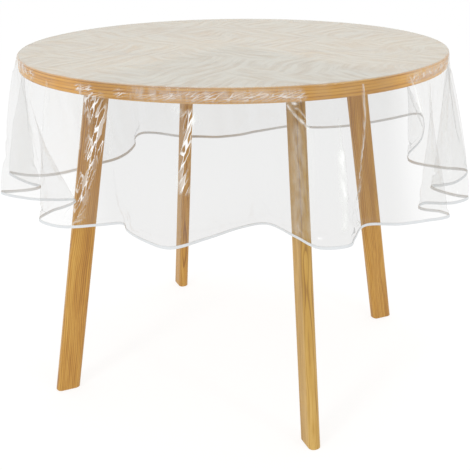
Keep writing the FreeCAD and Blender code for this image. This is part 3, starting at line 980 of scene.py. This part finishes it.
    def relief(self, points: Array, distances: Array, azimuth: Array) -> Array:
        """Raises the creases, the crumple and the wrinkles off the smooth film.

        A crease stands out by its rise times its strength, in full from 20 mm below the edge. Crumple
        is that times a sum of plane waves 14 to 40 mm long. The top's wrinkles are such a sum of
        waves 60 to 200 mm long, upwards only, some 0.5 mm high, and die out 12 mm inside the edge.

        Args:
            points: the smooth film, as rows of points.
            distances: the rows' distances from the centre.
            azimuth: the columns' azimuths.

        Returns:
            The film with its relief.
        """
        along = np.roll(points, -1, 1) - np.roll(points, 1, 1)
        normal = np.cross(np.gradient(points, axis=0), along)
        normal = normal / np.linalg.norm(normal, axis=2)[..., None]
        down = (distances - self.table.top_radius)[:, None]
        flat = distances[:, None, None] * np.stack([np.cos(azimuth), np.sin(azimuth)], axis=1)
        crumple = 0.6 * self.waves(flat, 14.0 * MM, 40.0 * MM, seed=5)
        out = np.zeros(points.shape[:2])
        for crease in CREASES:
            strength = crease.strength(azimuth[None, :], down, self.table.top_radius)
            shape = 1.0 if crease.kind is RIDGE else crumple
            out = np.maximum(out, crease.rise * strength / crease.depth * shape)
        out = out * smoothstep(down / (20.0 * MM)) * self.free(down)
        wrinkle = np.clip(self.waves(flat, 60.0 * MM, 200.0 * MM, seed=8), 0.0, 1.0)
        lift = 0.5 * MM * wrinkle * smoothstep(-(down + 12.0 * MM) / (30.0 * MM))
        return points + out[..., None] * normal + np.dstack([0.0 * lift, 0.0 * lift, lift])

    @staticmethod
    def waves(flat: Array, shortest: float, longest: float, seed: int) -> Array:
        """A sum of plane waves of random length, direction and phase.

        Args:
            flat: the points on the flat film.
            shortest: the shortest wavelength, in metres.
            longest: the longest.
            seed: the seed of the random numbers.

        Returns:
            The sum at each point, mostly between minus one and one.
        """
        chance, count = np.random.default_rng(seed), 12
        total = np.zeros(flat.shape[:2])
        for _ in range(count):
            turn, phase = chance.uniform(0.0, 2.0 * np.pi, 2)
            wave = 2.0 * np.pi / chance.uniform(shortest, longest)
            total += np.cos(wave * (flat[..., 0] * np.cos(turn) + flat[..., 1] * np.sin(turn)) + phase)
        return total / math.sqrt(count)

    def free(self, down: Array) -> Array:
        """How free the film is of its tape: nought in it, one from 30 mm above the hem."""
        return smoothstep((self.overhang - down - self.sewn) / self.fade)

    def relax(self, points: Array, distances: Array) -> Array:
        """Lets the hanging film settle under its own weight, with the top and the hem held.

        A coarse copy of the film is simulated as cloth that is a little longer than the smooth
        surface, so that it buckles and sags as the real film does. How far each of its points
        moves is capped, spread over the fine film and added to it.

        Args:
            points: the smooth film, as rows of points.
            distances: the rows' distances from the centre.

        Returns:
            The settled film.
        """
        rows = np.arange(self.rings - 1, len(points), 2)
        if rows[-1] != len(points) - 1:
            rows = np.append(rows, len(points) - 1)
        coarse = points[rows, ::self.coarse]
        count = coarse.shape[1]
        cloth = mesh_object("settling_film", coarse.reshape(-1, 3), grid_faces(len(rows), count))
        # The first rows, round the table's edge, and the last one, the hem, stay where they are.
        held = cloth.vertex_groups.new(name="held")
        fixed = np.r_[0:self.held_rows * count, (len(rows) - 1) * count:len(rows) * count]
        held.add(fixed.tolist(), 1.0, "REPLACE")
        modifier = cloth.modifiers.new("cloth", "CLOTH")
        film = modifier.settings
        film.quality = 6
        film.mass = 0.05
        film.tension_stiffness = film.compression_stiffness = 12.0
        film.shear_stiffness = 4.0
        film.bending_stiffness = 0.4
        film.air_damping = 2.0
        film.shrink_min = -self.spare
        film.vertex_group_mass = held.name
        modifier.point_cache.frame_start, modifier.point_cache.frame_end = 1, self.frames
        for frame_number in range(1, self.frames + 1):
            bpy.context.scene.frame_set(frame_number)
        seen = cloth.evaluated_get(bpy.context.evaluated_depsgraph_get())
        settled = np.empty(len(seen.data.vertices) * 3, np.float32)
        seen.data.vertices.foreach_get("co", settled)
        moved = settled.reshape(coarse.shape) - coarse
        bpy.context.scene.frame_set(1)
        bpy.data.objects.remove(cloth)
        size = np.linalg.norm(moved, axis=2)[..., None]
        moved = moved * np.minimum(1.0, self.cap / np.maximum(size, 1e-9))
        log.info("cloth settled by up to %.1f mm", size.max() / MM)
        # Spread round the cloth by its Fourier series, then in straight lines between the rows.
        columns = points.shape[1]
        wide = np.fft.irfft(np.fft.rfft(moved, axis=1), n=columns, axis=1) * columns / count
        full = np.zeros_like(points)
        full[rows[0]:] = between(np.arange(rows[0], len(points)), rows, wide)
        down = (distances - self.table.top_radius)[:, None, None]
        return points + full * self.free(down)

    def distances(self) -> Array:
        """Distances of the rows from the cloth's centre, closer together at the edge's bend.

        Returns:
            One distance for each row, in metres.
        """
        radius, near, gap, close = self.table.top_radius, 9.0 * MM, 3.0 * MM, 10
        top = np.linspace(0.0, radius - near - gap, self.rings + 1)[1:]
        bend = np.linspace(radius - near, radius + near, close)
        hang = np.linspace(radius + near, self.diameter / 2.0, self.rows - close + 1)[1:]
        return np.concatenate([top, bend, hang])

    def build(self) -> bpy.types.Object:
        """Builds the film sheet.

        Returns:
            The sheet's object.
        """
        points, distances, azimuth = self.surface()
        points = self.relief(self.relax(points, distances), distances, azimuth)
        rows, columns = points.shape[:2]
        flat_uv = distances[:, None, None] * np.stack([np.cos(azimuth), np.sin(azimuth)], axis=1)
        vertices = points.reshape(-1, 3)
        uv = flat_uv.reshape(-1, 2)
        centre = len(vertices)
        vertices = np.vstack([vertices, [[0.0, 0.0, self.table.top_height + self.lie]]])
        uv = np.vstack([uv, [[0.0, 0.0]]])
        ring = np.arange(columns)
        fan = np.stack([np.full(columns, centre), ring, np.roll(ring, -1), np.roll(ring, -1)], axis=1)
        sheet = mesh_object("clear_cloth", vertices, np.vstack([fan, grid_faces(rows, columns)]), uv)
        dress(sheet, ClearVinyl(edge=self.table.top_radius).material())
        self.paint(sheet, distances, azimuth)
        self.hem_line = points[-1]
        self.hem_fall = points[-1] - points[-4]
        return sheet

    def paint(self, sheet: bpy.types.Object, distances: Array, azimuth: Array) -> None:
        """Writes the "film" and "fall" attributes that the film's material reads.

        Args:
            sheet: the sheet, whose last vertex is its centre.
            distances: the rows' distances from the centre.
            azimuth: the columns' azimuths.
        """
        down = (distances - self.table.top_radius)[:, None]
        marks = {kind: np.zeros((len(distances), len(azimuth))) for kind in CreaseKind}
        for crease in CREASES:
            strength = crease.strength(azimuth[None, :], down, self.table.top_radius)
            marks[crease.kind] = np.maximum(marks[crease.kind], strength * (down > 0.0))
        # It stops lying flat 2 mm inside the edge, and hangs free 3 mm past it.
        lying = 1.0 - smoothstep((down + 2.0 * MM) / (5.0 * MM))
        layers = np.broadcast_arrays(lying, marks[RIDGE], marks[CRUMPLE], self.painted_streaks(azimuth))
        values = np.stack([layer.ravel() for layer in layers], axis=1)
        values = np.vstack([values, [[1.0, 0.0, 0.0, 0.5]]])
        film = sheet.data.color_attributes.new(name="film", type="FLOAT_COLOR", domain="POINT")
        film.data.foreach_set("color", values.astype(np.float32).ravel())
        fall = np.zeros((len(distances) * len(azimuth) + 1, 3))
        fall[:-1, 0] = np.tile(azimuth * self.table.top_radius, len(distances))
        fall[:-1, 1] = np.repeat(distances, len(azimuth))
        fall[:-1, 2] = np.tile(self.front_shade(azimuth), len(distances))
        held = sheet.data.attributes.new(name="fall", type="FLOAT_VECTOR", domain="POINT")
        held.data.foreach_set("vector", fall.astype(np.float32).ravel())

    def front_shade(self, azimuth: Array) -> Array:
        """How much of the deeper tint, a painted shade, the film gets.

        One at the front, where a single layer would vanish against white, and nought at the sides
        and behind, where folds overlap. It changes between 32 and 42 degrees from the front's middle.

        Args:
            azimuth: the columns' azimuths.

        Returns:
            The strength at each azimuth.
        """
        middle, near, far = np.radians((272.0, 32.0, 42.0))
        away = np.abs((azimuth - middle + np.pi) % (2.0 * np.pi) - np.pi)
        return 1.0 - smoothstep((away - near) / (far - near))

    def painted_streaks(self, azimuth: Array) -> Array:
        """Faint bands of painted light and shade down the cloth: a sum of 24 waves, each 9 to 69 times
        round it.

        Args:
            azimuth: the columns' azimuths.

        Returns:
            The strength at each azimuth, from nought to one.
        """
        chance, count = np.random.default_rng(11), 24
        waves = chance.integers(9, 70, count)
        phases = chance.uniform(0.0, 2.0 * np.pi, count)
        total = np.cos(azimuth[:, None] * waves + phases).sum(axis=1) / math.sqrt(count)
        return np.clip(0.5 + 0.35 * total, 0.0, 1.0)

    def hem_directions(self) -> tuple[Array, Array]:
        """The film's downward direction at each hem point, of length one, and the way along it."""
        fall = self.hem_fall / np.linalg.norm(self.hem_fall, axis=1)[:, None]
        return fall, np.roll(self.hem_line, -1, 0) - np.roll(self.hem_line, 1, 0)

    def build_binding(self) -> bpy.types.Object:
        """Builds the binding tape: a flat oval section carried round the hem.

        Each point of the section is a share of the film's own downward direction at the hem plus a
        share of the direction square to it and to the hem.

        Returns:
            The tape's object.
        """
        fall, along = self.hem_directions()
        out = np.cross(along, fall)
        out = out / np.linalg.norm(out, axis=1)[:, None]
        turn = np.linspace(0.0, 2.0 * np.pi, 12, endpoint=False)
        # A superellipse of power three: nearly flat faces with round edges.
        wide = np.sign(np.cos(turn)) * np.abs(np.cos(turn)) ** (2.0 / 3.0) * self.tape_half_width
        thick = np.sign(np.sin(turn)) * np.abs(np.sin(turn)) ** (2.0 / 3.0) * self.tape_half_thick
        centre = self.hem_line - fall * self.tape_rise
        rows = centre[None] + wide[:, None, None] * fall + thick[:, None, None] * out
        points = np.transpose(rows, (1, 0, 2)).reshape(-1, 3)
        count = len(self.hem_line)
        faces = grid_faces(count + 1, len(turn)) % (count * len(turn))
        length = np.cumsum(np.linalg.norm(along, axis=1)) / 2.0
        uv = np.stack([np.repeat(length, len(turn)), np.tile(wide, count)], axis=1)
        tape = mesh_object("hem_tape", points, faces[:, ::-1], uv)
        dress(tape, VinylTape().material())
        return tape

    def build_stitches(self) -> bpy.types.Object:
        """Builds the row of stitches that holds the tape, on both its faces.

        Each stitch is a spindle: five points round at both quarters of its length, and a pole at
        each end. Its middle lies on the tape's face, so that half of it stands proud.

        Returns:
            The stitches' object.
        """
        pitch, stitch, half_thread, face, sides = 4.0 * MM, 3.2 * MM, 0.28 * MM, 0.74 * MM, 5
        closed = np.vstack([self.hem_line, self.hem_line[:1]])
        travel = np.r_[0.0, np.cumsum(np.linalg.norm(np.diff(closed, axis=0), axis=1))]
        places = np.arange(0.5 * pitch, travel[-1], pitch)
        fall, along = self.hem_directions()
        along = along / np.linalg.norm(along, axis=1)[:, None]
        line, down, run = (between(places, travel, np.vstack([values, values[:1]]))
                           for values in (self.hem_line, fall, along))
        out = np.cross(run, down)
        out = out / np.linalg.norm(out, axis=1)[:, None]
        row = line - down * (self.tape_rise - VinylTape.row)
        turn = np.linspace(0.0, 2.0 * np.pi, sides, endpoint=False)
        ring = half_thread * np.stack([0.0 * turn, np.cos(turn), np.sin(turn)], axis=1)
        tip = np.array([stitch / 2.0, 0.0, 0.0])
        spindle = np.vstack([-tip, ring - tip / 2.0, ring + tip / 2.0, tip])
        # Both ends are fans of triangles, written as four corners with one repeated.
        start, near = np.zeros(sides, int), 1 + np.arange(sides)
        far, end = near + sides, start + 1 + 2 * sides
        faces = np.vstack([
            np.stack([start, np.roll(near, -1), near, near], axis=1),
            np.stack([near, np.roll(near, -1), np.roll(far, -1), far], axis=1),
            np.stack([far, np.roll(far, -1), end, end], axis=1)])
        blocks = [(row + side * face * out)[:, None] + spindle[None, :, :1] * run[:, None]
                  + spindle[None, :, 1:2] * down[:, None] + spindle[None, :, 2:] * out[:, None]
                  for side in (1.0, -1.0)]
        points = np.vstack([block.reshape(-1, 3) for block in blocks])
        offset = len(spindle) * np.arange(2 * len(places))[:, None, None]
        thread = mesh_object("hem_stitches", points, (faces[None] + offset).reshape(-1, 4))
        dress(thread, THREAD.material())
        return thread


# ---- Studio ---------------------------------------------------------------------------------
@dataclass
class Studio:
    """The white studio: a pale lit floor, soft lights and the camera.

    Attributes:
        eye: the camera's place.
        pitch: how far it looks down, in degrees.
        roll: how far it leans, in degrees.
        lens: its focal length in millimetres, on a 36 mm wide sensor.
    """

    eye: tuple[float, float, float] = (0.0, -1.8373, 1.0287)
    pitch: float = 21.479
    roll: float = -0.616
    lens: float = 63.76

    def build_camera(self) -> None:
        """Puts up the camera and makes it the scene's."""
        data = bpy.data.cameras.new("camera")
        data.lens = self.lens
        data.sensor_width = 36.0
        camera = bpy.data.objects.new("camera", data)
        bpy.context.scene.collection.objects.link(camera)
        turn = Matrix.Rotation(math.radians(90.0 - self.pitch), 4, "X")
        lean = Matrix.Rotation(math.radians(self.roll), 4, "Z")
        camera.matrix_world = Matrix.Translation(self.eye) @ turn @ lean
        bpy.context.scene.camera = camera

    def build_floor(self) -> bpy.types.Object:
        """Lays the floor: white acrylic, lit a little from below as in a product studio.

        Returns:
            The floor's object.
        """
        half, low = 30.0, -0.0005
        corners = np.array([[-half, -half, low], [half, -half, low], [half, half, low],
                            [-half, half, low]])
        floor = mesh_object("floor", corners, np.array([[0, 1, 2, 3]]), smooth=False)
        material, tree = new_material("white acrylic floor")
        base = add_node(tree, "ShaderNodeBsdfDiffuse", {"Color": linear("#828282")})
        glow = add_node(tree, "ShaderNodeEmission", {"Strength": 0.81})
        both = add_node(tree, "ShaderNodeAddShader", links={0: base.outputs[0], 1: glow.outputs[0]})
        add_node(tree, "ShaderNodeOutputMaterial", links={"Surface": both.outputs[0]})
        dress(floor, material)
        return floor

    def add_light(self, name: str, place: tuple[float, float, float], size: tuple[float, float],
                  power: float) -> None:
        """Adds a rectangular soft light that faces the table.

        Args:
            name: the light's name.
            place: where its middle is.
            size: its width and height.
            power: its power in watts.
        """
        data = bpy.data.lights.new(name, "AREA")
        data.shape = "RECTANGLE"
        data.size, data.size_y = size
        data.energy = power
        light = bpy.data.objects.new(name, data)
        bpy.context.scene.collection.objects.link(light)
        aim = Vector((0.0, 0.0, 0.6)) - Vector(place)
        light.matrix_world = (Matrix.Translation(place)
                              @ aim.to_track_quat("-Z", "Y").to_matrix().to_4x4())

    def build_lights(self) -> None:
        """Puts up a white surround and three soft boxes."""
        world = bpy.data.worlds.new("studio")
        world.use_nodes = True
        world.node_tree.nodes.clear()
        glow = add_node(world.node_tree, "ShaderNodeBackground",
                        {"Color": linear("#ffffff"), "Strength": 0.85})
        add_node(world.node_tree, "ShaderNodeOutputWorld", links={"Surface": glow.outputs[0]})
        bpy.context.scene.world = world
        self.add_light("key", (-1.5, -2.2, 2.2), (0.5, 1.5), 20.0)
        self.add_light("fill", (1.9, -2.0, 1.6), (0.3, 1.6), 8.0)
        self.add_light("top", (0.3, 0.6, 3.0), (1.6, 0.8), 15.0)
        bpy.context.scene.view_settings.view_transform = "Standard"
        bpy.context.scene.cycles.transparent_max_bounces = 32


def main() -> None:
    """Builds the studio, the table and the cloth, in that order."""
    studio = Studio()
    studio.build_camera()
    studio.build_floor()
    studio.build_lights()
    log.info("studio: camera, floor and lights")
    table = OakTable()
    table.dress()
    log.info("table: radius %.4f, height %.4f", table.top_radius, table.top_height)
    cloth = FilmCloth(table)
    sheet = cloth.build()
    tape = cloth.build_binding()
    stitches = cloth.build_stitches()
    for piece in (sheet, tape, stitches):
        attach(piece, "cloth")
        log.info("%s: %d faces", piece.name, len(piece.data.polygons))
    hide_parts("clear_film_sheet")
    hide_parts("hem_binding")
    log.info("cloth: %d points round, overhang %.4f", cloth.columns, cloth.overhang)


if __name__ == "__main__":
    main()
